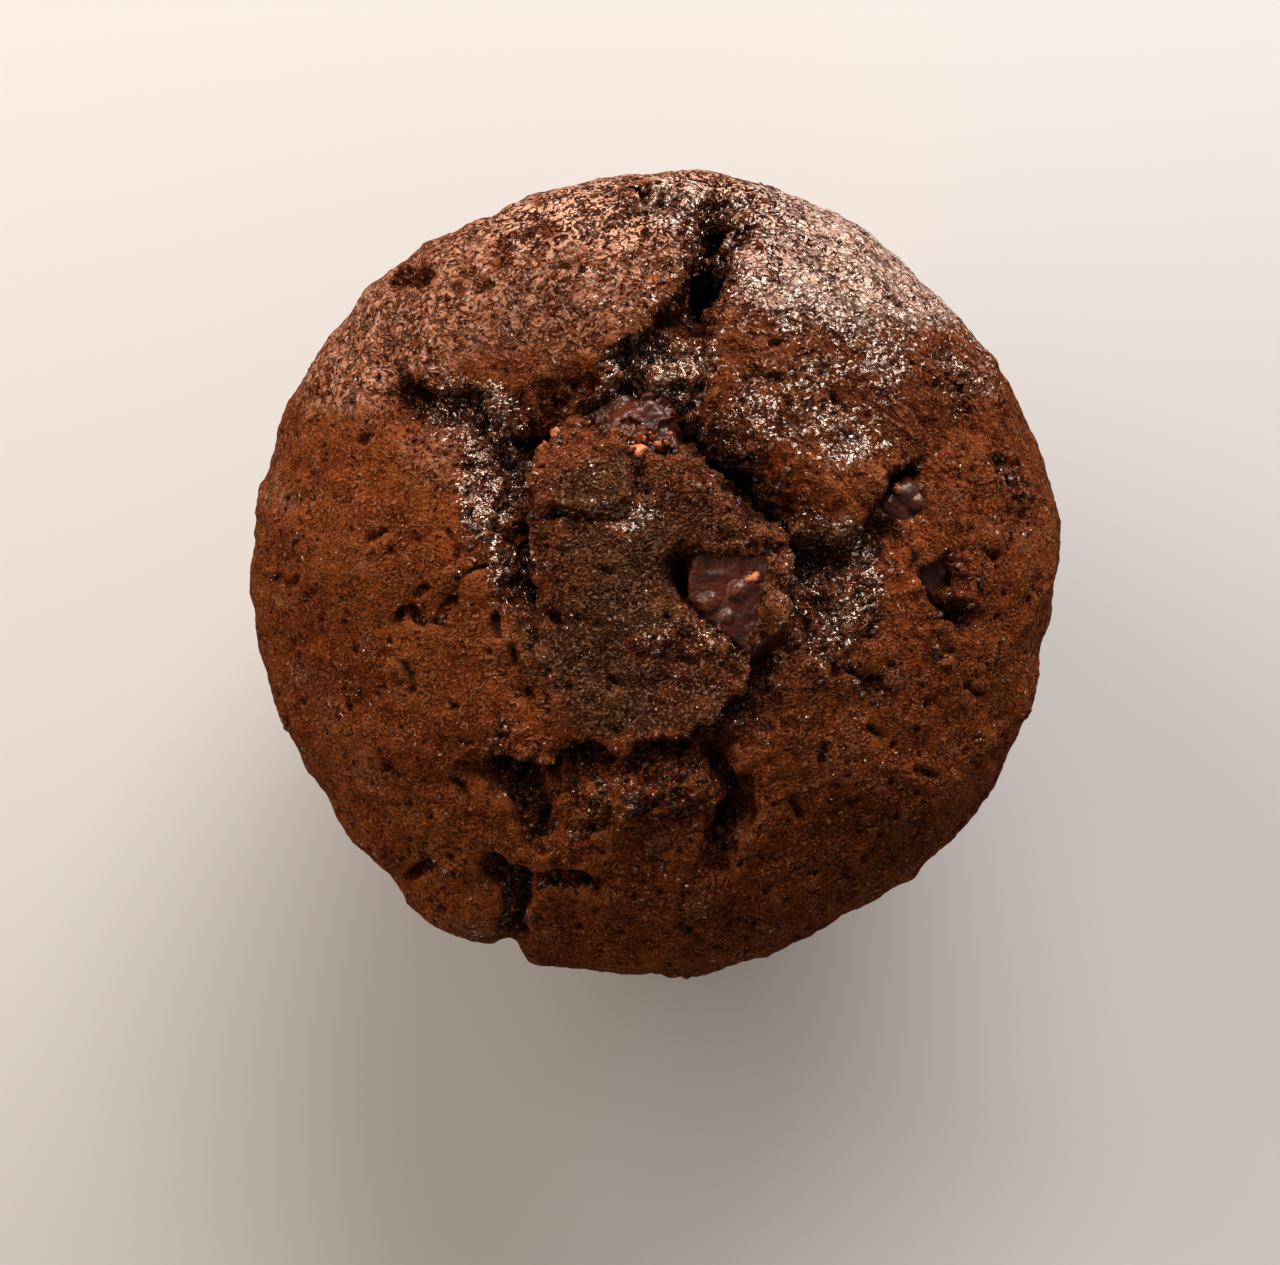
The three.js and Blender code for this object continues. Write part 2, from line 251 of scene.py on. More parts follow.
# %% Tears
# A tear's line, how far the crust on its left stands up in a lip, how far the other side drops, the reach
# over which the lip and the drop die away, and the length over which the tear's ends run out.
TEARS = {
    "cap": (
        [(-30, 23), (-27.5, 21.5), (-24.5, 20), (-21, 19.5), (-18.5, 18.5), (-17, 16.5), (-13, 16),
         (-10.5, 17.5), (-7, 19), (-5, 21), (-4.4, 23.8), (-2, 25.4), (-0.4, 28), (2.8, 30.4), (3.6, 33.4),
         (3.4, 36), (4.8, 37.6), (6, 39.4), (7, 44)],
        1.6, 3.4, 7, 3.0, 5,
    ),
    "plateau": (
        [(-23, -21.5), (-19.5, -19.8), (-16.5, -19.2), (-13, -19), (-4, -18), (5, -16), (8.5, -12.5),
         (10.5, -7.5), (13, -5), (14, 1), (12.8, 6), (8.5, 9.5), (4.5, 13), (1, 16.5), (-4, 17),
         (-10.5, 16), (-12.5, 12.5), (-13.3, 8), (-14, 3), (-13.2, -2), (-12, -8)],
        1.0, 3.6, 6, 2.8, 7,
    ),
    "left_lobe": (
        [(-12.5, -9), (-14, -5), (-15.8, -1), (-17, 3), (-18.5, 7), (-20.5, 11), (-21.5, 15)],
        0.6, 1.8, 7, 3.0, 6,
    ),
    "east_lobe": (
        [(9, 43), (7.8, 40), (6.8, 37.4), (8.2, 34.5), (7.9, 31), (6.4, 28.6), (5.5, 25), (6, 21),
         (3.5, 17), (6.5, 13), (10.5, 11), (12.5, 8), (15, 4.2), (19.5, 3), (23, 6), (24.5, 10.5),
         (29.5, 12)],
        1.5, 3.4, 8, 2.8, 4,
    ),
}

# %% Clefts and cracks
# A cleft's line, half its width, its depth, and the length over which its ends run out.
CLEFTS = {
    "north": ([(7.6, 44), (6.6, 39.4), (5.7, 36.5), (5.9, 33), (5.4, 29)], 1.9, 8, 5),
    "lobe_gap": ([(2.5, 18.5), (4, 14.5), (8.5, 10.3), (12.5, 6.8), (14.5, 3.5)], 2.7, 5.4, 3),
    "south": ([(5.3, -16.8), (6.8, -20.4), (8.3, -24.6), (6.8, -28.8), (5.4, -35)], 2.1, 5, 6),
    "south_left": ([(-19, -20), (-16, -21.4), (-13.6, -24.6), (-11.6, -30.2)], 2.3, 4, 3),
    "trench_north": ([(-17, 13.6), (-15.9, 10.1), (-15.5, 7)], 0.8, 1.6, 2),
    "trench_south": ([(-18.6, 5.2), (-17, 2.7), (-15.9, 0.2)], 0.9, 1.8, 2),
    "south_west": ([(-20, -32.6), (-17.5, -32.2), (-14.5, -33.4), (-10, -33.2), (-4.8, -34.2)], 1.4, 3.2, 3),
    "blob": ([(-19.5, -32.6), (-17.6, -32.2), (-15.8, -34.3), (-15.3, -37), (-17.2, -41.8)], 1.7, 4.2, 2),
    "blob_back": ([(-28.5, -34.6), (-27.2, -33.6), (-24.4, -32.4), (-21, -33.4)], 0.8, 1.5, 1.5),
    "flake": ([(10.6, 38.6), (9.4, 37.2), (8, 34.6)], 0.8, 2, 1.5),
    "east_hole": ([(28.5, 1), (29.5, -0.8), (31, -3), (33, -4.5), (36, -5.2)], 1.6, 3.8, 2.5),
    "east_crease": ([(18, -8), (22, -12), (27, -14.5)], 1.4, 1, 4),
    "rim_cave": ([(-30, 31), (-27.5, 32.8), (-24, 31)], 1.7, 3.4, 2),
    "ridge": ([(29, 26), (33, 20), (32.5, 14)], 2, 1, 5),
    "east_ridge": ([(36, 15), (39.5, 9), (41.5, 4)], 2, 0.9, 4),
    "notch": ([(-2.5, 43.2), (-1, 40)], 1, 1.6, 1),
    "zigzag": ([(-28, -6.3), (-26.5, -4.6), (-24, -6), (-22, -3.2), (-21, -1.6)], 0.6, 1.1, 2),
    "plateau_gap": ([(1, 1.6), (2.6, -0.2), (3.6, -3.6), (7.6, -7.4), (10, -9.4)], 1.2, 2.4, 2.5),
    "block_foot": ([(-12.6, 6.2), (-7, 5.2), (-3, 6.8), (-1.6, 10.5)], 0.8, 1.2, 1.5),
}
# Short cracks of the crust: x and y of one end, then of the other.
CRACKS = [
    (-25.5, -2.6, -23.8, -1.4), (-21, -0.1, -18, 0.6), (-17.6, -4.4, -17, -7.6), (-14.7, -4.4, -12.8, -8.2),
    (-7.6, -27.6, -3.6, -26.6), (-3, -26.2, 0.6, -24.2), (-15.6, -7.8, -15.4, -10.6),
    (-13.6, -12.4, -13, -15.2), (-27, -9.4, -26.4, -13.6), (-41.5, -1.6, -38.6, -0.4),
    (-11.5, -4, -9.8, -6.1), (-31, 3, -28.2, 4.4), (-34, -12, -33.4, -15.4), (18, -18, 17.4, -22.4),
    (22, -16.5, 24.6, -18.2), (14, -24, 15.5, -27), (27, -21, 30.5, -22), (12, 24, 16, 25.2),
    (18, 19, 20.6, 16.4), (9.5, 21, 13.5, 20.2), (24, 30, 27.4, 28.4), (-20, 29, -17, 30.6),
    (-12, 33, -9.2, 32), (-33, 14, -30.4, 15), (33, -12, 35.8, -13.8), (2, -38, 4.4, -39.6),
    (-22, -22, -20, -25.4), (-30, -21, -27.6, -22.6), (35, 3, 37.6, 1.4), (-6, -11, -3, -12.6),
    (1.6, -9.4, 4.6, -10), (-6.6, 0.4, -4.4, -0.8),
]

# %% Lumps in the crumb
# A flat-topped lump that is covered all over: its corners and how far it stands up.
BLOCK = [
    (-12, 14.4), (-7, 14.9), (-2.2, 14.2), (-2.4, 11), (-3.2, 7.2), (-6.5, 5.8), (-12.2, 6.2), (-13, 10.5),
]
BLOCK_RISE = 1.5
# Lumps of chocolate: the whole outline, the part of it that lies open, where the face's middle is, how deep
# the lump goes, how its face leans about x and y in degrees, and how far the crumb is pushed down over it.
CHUNKS = {
    "chocolate_middle": dict(
        corners=[(4.4, 2.9), (4.0, -4), (8, -7.8), (9.8, -8.6), (12.2, -3.6), (12.4, 2.4)],
        shown=[(3.6, 2.0), (3.2, -1.5), (4.2, -3.8), (8.8, -8.0), (10.0, -5.4), (10.8, -1.6), (11.6, 1.6)],
        top=64.6, depth=6.5, lean=(3, -9), sunk=2.4,
        blobs=[(8.6, -2.2, 1.5), (9.9, -1.4, 1.2), (5.4, -3.4, 1.5), (7.4, -4.8, 1.0)],
    ),
    "chocolate_north": dict(
        corners=[(-8.8, 14.2), (-3.8, 13.2), (-2.2, 11.4), (0.4, 11.2), (2.2, 13.2), (1.8, 16.0), (-2, 17.8),
                 (-8, 17.2)],
        shown=[(-8.2, 15.2), (-4.6, 14.9), (-3.4, 12.6), (-1, 11.8), (1.2, 11.9), (2.3, 13.4), (1.4, 16.2),
               (-2, 17.6), (-7.2, 16.9)],
        top=64.0, depth=5.0, lean=(-11, 2), sunk=1.8,
        blobs=[(-3.2, 14.9, 1.0), (-1.0, 14.6, 1.1), (1.0, 13.2, 0.8), (-5.8, 15.6, 0.9)],
        creased=0.75,
    ),
    "chocolate_cleft": dict(
        corners=[(24.2, 6.8), (27.9, 5.6), (29.3, 8.6), (27.2, 10.8), (24.6, 9.8)],
        shown=[(24.8, 6.2), (28, 6.4), (28.6, 8.4), (27.4, 10.2), (25.2, 9.8), (24.4, 8)],
        top=59.6, depth=4.0, lean=(-10, 24), sunk=2.6, blobs=[(26.4, 8.4, 1.9), (27.6, 7.4, 1.3)],
    ),
    "chocolate_east": dict(
        corners=[(28.2, -1.2), (31.6, -2.8), (33.4, -0.2), (31, 2.4), (28.6, 1.8)],
        shown=[(29, -1.6), (31.8, -1.8), (32.4, -0.4), (31.6, 1.5), (29.2, 1.6), (28.6, 0)],
        top=57.6, depth=4.0, lean=(4, 24), sunk=2.6, blobs=[(30.6, 0.2, 1.3)],
    ),
}

# %% Swellings, torn patches and the rim
# Swellings of the crown, and hollows where the height is below zero: middle, radii and height.
SWELLINGS = [
    ((17.5, 8.5), (7, 6), 2.0),  # nose of the north-east lobe
    ((2.6, -0.4), (2.6, 3.6), -4.4),  # hollow beside the middle lump of chocolate
    ((19, -3), (8, 9), -1.8),  # sticky dip east of the plateau
    ((-2, -24), (9, 4.5), 0.9),  # crumb heaped south of the plateau
    ((5.7, 33.6), (2.8, 4.8), -11.0),  # hole at the top of the cleft
    ((6.6, 40.4), (1.5, 1.9), -3.5),
    ((-25, 31), (14, 9), 1.2),  # the four broad parts of the crown
    ((-32, 2), (12, 16), 0.8),
    ((24, 24), (14, 12), 1.4),
    ((26, -22), (14, 12), 0.8),
    ((-21.5, -37.5), (7, 4), 1.2),  # blob that ran over the edge
    ((-2, 20.5), (6, 3), -0.8),
    ((12.9, 1.4), (2.0, 4.2), 2.4),  # crumb that grips the middle lump
    ((11.8, 4.0), (2.8, 2.2), 2.4),
    ((12.0, -4.6), (1.8, 3.6), 2.4),
    ((-3.6, 18.6), (4.6, 2.2), 2.2),  # crumb round the north lump
    ((3.9, 13.2), (1.9, 3.4), 2.6),
]
# Where crumb lies open beside the tears: middle, radii, and how torn it is.
TORN_PATCHES = [
    ((-18, 9), (3.6, 8), 0.9), ((-1, 21.5), (6, 4.5), 0.8), ((18.5, -3), (6.5, 9), 0.85),
    ((-2, -23), (11, 4.5), 1.0), ((9, 7.5), (4.5, 4), 0.3), ((-1, 41), (4, 3), 0.7),
    ((31, -2.5), (5, 4.5), 0.6), ((14, 14), (9, 6), 0.35), ((11, -13), (4, 4), 0.6), ((2, -8), (7, 2.2), 0.5),
]
# Where the rim stands out or back: the bearing and the spread in degrees, and how far.
RIM_SHIFTS = [
    (239, 6, 0.5), (229, 3, -0.7), (210, 12, -0.7), (248.4, 2.2, -2.2), (298, 18, -2.4), (313, 6, -0.8),
    (333, 7, -1.6), (350, 9, -2.2), (5, 6, 0.6), (45, 16, -1.3), (90, 14, -0.6), (117, 12, -1.4),
]
# A thin skirt of crust hangs over the rim: its bearing and spread in degrees, and its folds by level.
SKIRT = (309, 20)
SKIRT_FOLDS = [(47.6, 0.4), (45.9, -1.3), (44.0, 0.6), (42.4, -0.3), (41, 0.3)]
FOLD_REACH = 0.75
# Above the widest level a shift of the rim runs out over this height.
TUCK = 14.0
FLUTES = 32
FLUTE_DEPTH = 0.55
TEAR_EDGE = 0.55

# %% Measuring from lines and outlines


def traced(points, step=0.6):
    """A smooth line through the points, as dots about a step apart."""
    dots = np.array([points[0], *points, points[-1]], float)
    found = []
    for before, start, end, after in zip(dots, dots[1:], dots[2:], dots[3:]):
        count = max(2, int(np.hypot(*(end - start)) / step))
        for share in np.arange(count)[:, None] / count:
            pull, push = (end - before) / 2, (after - start) / 2
            found.append(
                (2 * share**3 - 3 * share**2 + 1) * start + (share**3 - 2 * share**2 + share) * pull
                + (3 * share**2 - 2 * share**3) * end + (share**3 - share**2) * push
            )
    return np.vstack([np.vstack(found), dots[-1]])


def offset_from(dots, flat):
    """Signed distance from a line (left is above zero), place along it, its length and its nearest point."""
    best = np.full(len(flat), np.inf)
    lean, along = np.zeros(len(flat)), np.zeros(len(flat))
    nearest = np.zeros_like(flat)
    passed = 0.0
    for start, end in zip(dots, dots[1:]):
        step = end - start
        length = np.hypot(*step)
        share = np.clip(((flat - start) @ step) / length**2, 0, 1)
        foot = start + share[:, None] * step
        away = np.hypot(*(flat - foot).T)
        side = step[0] * (flat - start)[:, 1] - step[1] * (flat - start)[:, 0]
        closer = away < best - 1e-6
        best[closer], lean[closer] = away[closer], side[closer] / length
        along[closer] = passed + share[closer] * length
        nearest[closer] = foot[closer]
        passed += length
    return np.where(lean < 0, -best, best), along, passed, nearest


def beside(dots, flat, reach, fade):
    """Which points lie in the box round a line, a reach wider. For those: their offset, the nearest point of
    the line, and a strength that runs out over a fade towards the line's ends."""
    near = np.all((flat > dots.min(0) - reach) & (flat < dots.max(0) + reach), axis=1)
    offset, along, length, nearest = offset_from(dots, flat[near])
    return near, offset, nearest, ramp(0, fade, along) * ramp(0, fade, length - along)


def inside_by(corners, flat):
    """How far each point lies inside a closed outline, below zero outside it."""
    outline = np.array([*corners, corners[0]], float)
    distance = abs(offset_from(outline, flat)[0])
    crossings = np.zeros(len(flat), int)
    for (x0, y0), (x1, y1) in zip(outline, outline[1:]):
        spans = (y0 > flat[:, 1]) != (y1 > flat[:, 1])
        cut = x0 + (flat[:, 1] - y0) * (x1 - x0) / (y1 - y0 if y1 != y0 else 1)
        crossings += spans & (flat[:, 0] < cut)
    return np.where(crossings % 2 == 1, distance, -distance)


def oval(flat, middle, radii):
    """1 in the middle of an oval, 0 at its edge and outside."""
    return np.clip(1 - (((flat - middle) / radii) ** 2).sum(axis=1), 0, 1)


# %% [markdown]
# ## A map of the relief
#
# What a tear does to a point depends only on where the point lies seen from above. So the whole relief is
# worked out once, on a square map, and each vertex then reads its values off it. The map holds how far the
# surface moves out from the dome, how far it slides sideways, and how torn it is. The slide matters: the top
# of a lip leans out over the gap and the foot of its wall goes in under it. A height map alone can't make
# such an overhang, and without it the gaps have no deep shadow.

# %% Work out the map
MAP_STEP = 0.25
MAP_HALF = 48.0


def dome_level(flat):
    inside = np.clip(1 - (flat**2).sum(axis=1) / CROWN_RADIUS**2, 0, 1)
    return CROWN_LEVEL + (HEIGHT - CROWN_LEVEL) * np.sqrt(inside)


def relief(flat):
    """Columns: move out, slide in x, slide in y, torn."""
    at = np.column_stack([flat, dome_level(flat)])
    out, torn = np.zeros(len(flat)), np.zeros(len(flat))
    slide = np.zeros_like(flat)
    raggedness = cloud(at, 4.2) + 0.6 * cloud(at, 1.8, 4.4) + 0.3 * cloud(at, 0.8, 9.3)
    softness = np.clip(1.6 * cloud(at, 6, 2.2), 0, 1.5)
    for line, lip, drop, lip_reach, drop_reach, fade in TEARS.values():
        near, offset, nearest, strength = beside(traced(line), flat, 20, fade)
        wander = offset + raggedness[near] * ramp(5, 1.5, abs(offset))
        shoulder = 1 - 0.75 * np.exp(-abs(wander) / 0.9)
        raised = lip * np.exp(-abs(wander) / lip_reach) * shoulder
        sunk = -drop * ramp(2.2 * drop_reach, 0.2 * drop_reach, abs(wander))
        wall = ramp(-1, 1, wander / (TEAR_EDGE * (1 + softness[near])))
        out[near] += strength * (sunk * (1 - wall) + raised * wall)
        leftwards = (flat[near] - nearest) / np.maximum(abs(offset), 0.25)[:, None] * np.sign(offset)[:, None]
        lean = np.exp(-abs(wander) / 1.5) * (0.9 - 1.9 * wall)
        slide[near] += (strength * lean)[:, None] * leftwards
        torn[near] = np.maximum(torn[near], strength * ramp(0.9, -0.3, wander) * np.exp(-abs(wander) / 5))
    for line, half_width, depth, fade in CLEFTS.values():
        near, offset, _, strength = beside(traced(line), flat, 5, fade)
        share = np.clip(1 - ((offset + raggedness[near] * 0.55) / half_width) ** 2, 0, 1)
        out[near] -= depth * strength * share
        torn[near] = np.maximum(torn[near], strength * share**0.5)
    for x0, y0, x1, y1 in CRACKS:
        near, offset, _, strength = beside(np.linspace((x0, y0), (x1, y1), 4), flat, 2, 0.9)
        share = np.clip(1 - abs(offset + raggedness[near] * 0.3) / 0.45, 0, 1)
        out[near] -= 1.7 * share * strength
    out += BLOCK_RISE * ramp(-0.5, 0.5, inside_by(BLOCK, flat) + 0.35 * raggedness)
    for chunk in CHUNKS.values():
        depth_in = inside_by(chunk["shown"], flat) + 0.45 * raggedness
        out -= chunk["sunk"] * ramp(-0.4, 0.5, depth_in)
        torn = np.maximum(torn, 0.8 * ramp(-1.6, 0.2, depth_in))
    for middle, radii, height in SWELLINGS:
        out += height * oval(flat, middle, radii) ** 2
    for middle, radii, strength in TORN_PATCHES:
        torn = np.maximum(torn, strength * ramp(0, 0.5, oval(flat, middle, radii) + 0.25 * raggedness))
    return np.column_stack([out, slide, torn])


ticks = np.arange(-MAP_HALF, MAP_HALF + MAP_STEP / 2, MAP_STEP)
map_flat = np.stack(np.meshgrid(ticks, ticks, indexing="ij"), axis=-1).reshape(-1, 2)
relief_map = relief(map_flat).reshape(len(ticks), len(ticks), 4)


def read_map(flat):
    """The map's values at some points, blended between its four nearest entries."""
    scaled = np.clip((flat + MAP_HALF) / MAP_STEP, 0, len(ticks) - 1.001)
    low = scaled.astype(int)
    part = scaled - low
    total = np.zeros((len(flat), 4))
    for step in np.ndindex(2, 2):
        weight = np.prod(np.where(step, part, 1 - part), axis=1)[:, None]
        total += weight * relief_map[tuple((low + step).T)]
    return total


print("relief from", relief_map[..., 0].min().round(1), "to", relief_map[..., 0].max().round(1), "mm")

# %% [markdown]
# ## Sculpting the crown and the stump
#
# Each vertex of the crown moves along the way the plain dome faces there, and slides sideways. The outline
# gets its notches and its blob, and the stump its soft flutes. Voxel remeshing then evens out the stretched
# walls.

# %% Large forms


def dome_facing(at):
    """The way the plain dome faces under each point."""
    stretched = np.column_stack(
        [at[:, :2] / CROWN_RADIUS**2, np.maximum(at[:, 2] - CROWN_LEVEL, 0) / (HEIGHT - CROWN_LEVEL) ** 2]
    )
    return stretched / np.maximum(np.linalg.norm(stretched, axis=1), 1e-9)[:, None]


def sideways(at):
    """The level direction away from the axis, and the bearing in radians."""
    return at[:, :2] / np.maximum(np.hypot(*at[:, :2].T), 1)[:, None], np.arctan2(at[:, 1], at[:, 0])


def round_about(bearing, middle, spread):
    """1 at a middle bearing, and 0 a few spreads away from it on either side."""
    away = (np.degrees(bearing) - middle + 180) % 360 - 180
    return np.exp(-((away / spread) ** 2))


plain = corners_mm(crown)
moves = read_map(plain[:, :2])
lift = plain[:, 2] - CROWN_LEVEL
to_rim = ramp(0, 5, lift)
lumps = 0.55 * clouds(plain, 11, 2, 3.7) + 0.4 * clouds(plain, 4.5, 3, 8.1)
lumps *= ramp(0, 5, plain[:, 2] - CREASE_LEVEL)
sculpted = plain + dome_facing(plain) * (moves[:, 0] * to_rim + lumps)[:, None]
sculpted[:, :2] += moves[:, 1:3] * to_rim[:, None]
outwards, bearing = sideways(plain)
rim_share = ramp(TUCK, 0, lift) * ramp(CREASE_LEVEL, CROWN_LEVEL, plain[:, 2])
rim_shift = sum(shift * round_about(bearing, middle, spread) for middle, spread, shift in RIM_SHIFTS)
sculpted[:, :2] += outwards * (rim_shift * rim_share)[:, None]
skirt = round_about(bearing, *SKIRT) * (1 + 0.6 * cloud(plain, 4, 6.6))
level = plain[:, 2] + 1.6 * cloud(plain, 9, 2.4)
skirt_folds = sum(height * np.exp(-(((level - at) / FOLD_REACH) ** 2)) for at, height in SKIRT_FOLDS)
sculpted[:, :2] += outwards * (skirt * skirt_folds)[:, None]
put_corners(crown, sculpted)
remeshed(crown, 0.26)

plain = corners_mm(stump)
outwards, bearing = sideways(plain)
on_side = ramp(0, 7, CREASE_LEVEL - plain[:, 2]) * ramp(0, 5, plain[:, 2]) * (np.hypot(*plain[:, :2].T) > 24)
fluting = FLUTE_DEPTH * np.cos(FLUTES * bearing) + 0.22 * clouds(plain, 7, 3, 5.5)
plain[:, :2] += outwards * (fluting * on_side)[:, None]
put_corners(stump, plain)
remeshed(stump, 0.4)
print("sculpted crown:", len(crown.data.vertices), "vertices; stump:", len(stump.data.vertices))

# %% [markdown]
# ## Crust and crumb
#
# The next pass is the grain. Torn crumb is a heap of soft grains, so it gets two sizes of grain and sharp
# ridges, deep. Crust is the same crumb with a dried skin: finer, shallower, with small pores and hairline
# cracks. The side of the stump baked against the tin, so it is the smoothest.

# %% Grain of the surface
CROWN_TRIANGLES = 196_000
STUMP_TRIANGLES = 90_000


def veins(at, size, width, shift):
    """1 along thin winding lines, where a cloud changes sign, and 0 away from them."""
    return ramp(width, 0, abs(clouds(at, size, 3, shift)))


def ridges(at, size, shift):
    """Sharp-backed ridges, as where crumb was pulled apart: 1 on a ridge, below 0 between them."""
    return 1 - 3 * abs(cloud(at, size, shift))


def lay_of(places, facing):
    """How far each place belongs to the crown's top, and how torn and how steep it is."""
    above = ramp(CROWN_LEVEL - 4, CROWN_LEVEL + 5, places[:, 2])
    torn = read_map(places[:, :2])[:, 3] * above
    steep = ramp(0.45, 0.9, 1 - facing[:, 2]) * ramp(38, 30, np.hypot(*places[:, :2].T))
    return above, torn, steep


def thinned(piece, most):
    """Reduces a mesh to a number of triangles, most of them where the surface bends."""
    piece.data.calc_loop_triangles()
    finish_with(piece, "DECIMATE", ratio=min(1, most / len(piece.data.loop_triangles)))


places = corners_mm(crown)
facing = facings(crown)
above, torn, steep = lay_of(places, facing)
rough = np.clip(np.maximum(torn * 1.3, steep), 0, 1)
skin = 1 - rough

big = grains(places, 2.3)
middling = grains(places, 1.15, 5.5)
pore = grains(places, 2.4, 9.9)
height = rough * (0.6 * clouds(places, 3.3, 2, 4.9) + 0.45 * (0.55 - big) + 0.3 * (0.5 - middling))
height += rough * (0.28 * ridges(places, 1.9, 7.7) + 0.2 * ridges(places, 0.95, 1.4))
height += skin * (0.12 * (0.5 - middling) + 0.15 * clouds(places, 1.7, 3, 2.2))
height -= skin * above * 0.4 * veins(places, 2.4, 0.10, 6.1) * ramp(0.2, 0.6, cloud(places, 2.2, 1.3))
height -= skin * above * 0.45 * ramp(0.24, 0.1, pore)
put_corners(crown, places + facing * height[:, None])
thinned(crown, CROWN_TRIANGLES)

places = corners_mm(stump)
facing = facings(stump)
pore = grains(places, 2.0, 2.9)
height = 0.10 * clouds(places, 1.6, 3, 2.2) - 0.35 * ramp(0.24, 0.1, pore)
height[places[:, 2] < 0.6] = 0
places += facing * height[:, None]
places[:, 2] = np.maximum(places[:, 2], 0)
put_corners(stump, places)
thinned(stump, STUMP_TRIANGLES)
print("crown:", len(crown.data.polygons), "faces; stump:", len(stump.data.polygons))

# %% [markdown]
# ## Notes on the surface
#
# The material needs to know where the crumb is torn, where it lies deep, and which grains stand up: the deep
# places are painted with shade and the raised grains with a highlight. These are kept as one number per
# vertex and read by the shader.

# %% Attributes for the material


def hollowness(piece, rounds):
    """How far each vertex lies below the average of its surroundings, in millimetres."""
    mesh = piece.data
    ends = np.empty(len(mesh.edges) * 2, int)
    mesh.edges.foreach_get("vertices", ends)
    a, b = ends.reshape(-1, 2).T
    places = corners_mm(piece)
    smooth = places.copy()
    count = np.bincount(a, minlength=len(places)) + np.bincount(b, minlength=len(places))
    for _ in range(rounds):
        total = [np.bincount(a, column[b], len(places)) + np.bincount(b, column[a], len(places))
                 for column in smooth.T]
        smooth = 0.5 * smooth + 0.5 * np.transpose(total) / count[:, None]
    return ((smooth - places) * facings(piece)).sum(axis=1)


def patchy(places, patches):
    """How strongly places lie in oval patches with ragged rims, each with its middle, radii and strength."""
    ragged = 0.25 * cloud(places, 4, 1.9)
    shares = [
        strength * ramp(0.05, 0.7, oval(places[:, :2], middle, radii) + ragged)
        for middle, radii, strength in patches
    ]
    return np.max(shares, axis=0)


# Oval patches seen from above, each with its middle, radii and strength: where the crumb is moist and shines,
# where its crust is pale and floury, painted paler still as sheen along the north rim, and where the crust is
# painted darker, partly a moister batter and partly painted shade on the south flanks.
SHINE = [
    ((20, 31), (15, 16), 0.75), ((1.5, 41), (6.5, 5), 0.9), ((11, 38), (6, 7), 1), ((-3, 32), (8, 6), 0.3),
    ((-17.6, 11), (4.6, 8.6), 1.5), ((-20, 17), (6, 5), 1), ((0, 21), (8, 6), 1.4),
    ((-6, 5.8), (9, 2.2), 0.7), ((18.5, -2), (7, 9), 0.65), ((3, -7), (8, 2.5), 0.3),
    ((13, 16), (12, 8), 0.5), ((20.5, 14.5), (6, 4), 0.8), ((-16, -1), (2.5, 5), 0.8),
    ((17, 4.5), (5, 3), 0.8), ((36, 27), (8, 9), 0.6),
]
# MAUVE: the cap's own pale floury tone. Where it passes 0.7, along the north rim, the colour is painted paler
# still as sheen.
MAUVE = [
    ((-10, 35), (26, 15), 0.6), ((-4, 44), (26, 14), 1.1), ((-31, 28), (13, 15), 0.6),
    ((-21, 15), (9, 7), 0.3),
]
# DUSKY: crust painted darker, partly a moister, darker batter and partly painted shade on the south flanks
# that face away from the windows.
DUSKY = [
    ((10, -12), (13, 11), 1), ((8, 6), (8, 9), 1), ((21, -25), (11, 9), 0.5), ((2, -34), (15, 10), 0.35),
    ((18, -4), (9, 10), 0.7), ((-9, 26), (13, 7), 0.5), ((19, 20), (17, 13), 0.95),
    ((-14, 20.5), (10, 4.5), 0.9),
]
for piece in (crown, stump):
    places = corners_mm(piece)
    above, torn, steep = lay_of(places, facings(piece))
    flat, level = places[:, :2], places[:, 2]
    plateau = 1 - np.hypot((places[:, 0] + 0.5) / 15.5, (places[:, 1] + 1.5) / 18)
    notes = {
        "torn": np.clip(np.maximum(torn * 1.2, 0.6 * steep * above), 0, 1),
        # depth and hollow drive painted shade in the crumb's colour, and a raised bump a painted highlight
        "depth": np.clip((dome_level(flat) - level) / 7, 0, 1) * above,
        "hollow": np.clip(hollowness(piece, 10) / 0.35, -1, 1),
        "shine": patchy(places, SHINE) * above,
        "mauve": patchy(places, MAUVE) * ramp(CROWN_LEVEL - 1, CROWN_LEVEL + 8, level),
        "dusky": patchy(places, DUSKY) * above,
        "sheen": ramp(0.1, 0.8, oval(flat, (22, 38), (26, 14))) * above,
        "draped": ramp(0.0, 0.5, oval(flat, (25, 27), (24, 24))) * above,
        "side": 1 - ramp(CREASE_LEVEL - 1, CREASE_LEVEL + 5, level),
        "plateau": ramp(-0.1, 0.15, plateau + 0.08 * cloud(places, 3, 7.7)) * above,
    }
    for name, values in notes.items():
        layer = piece.data.attributes.new(name, "FLOAT", "POINT")
        layer.data.foreach_set("value", np.ascontiguousarray(values, np.float32))
    print(piece.name, "has notes on", ", ".join(notes))

# %% [markdown]
# ## Shader maths as Python
#
# A shader is a graph of nodes. Wrapping a socket in a small class lets sums be written as sums: each operator
# adds its Math node.

# %% Sockets as numbers


def plug(socket, value):
    """Links a flow to a socket, or sets the socket to a plain value."""
    if isinstance(value, Flow):
        socket.node.id_data.links.new(value.socket, socket)
    else:
        socket.default_value = value


def plug_all(node, values):
    """Fills sockets by name, with _ for a space."""
    for name, value in values.items():
        plug(node.inputs[name.replace("_", " ")], value)


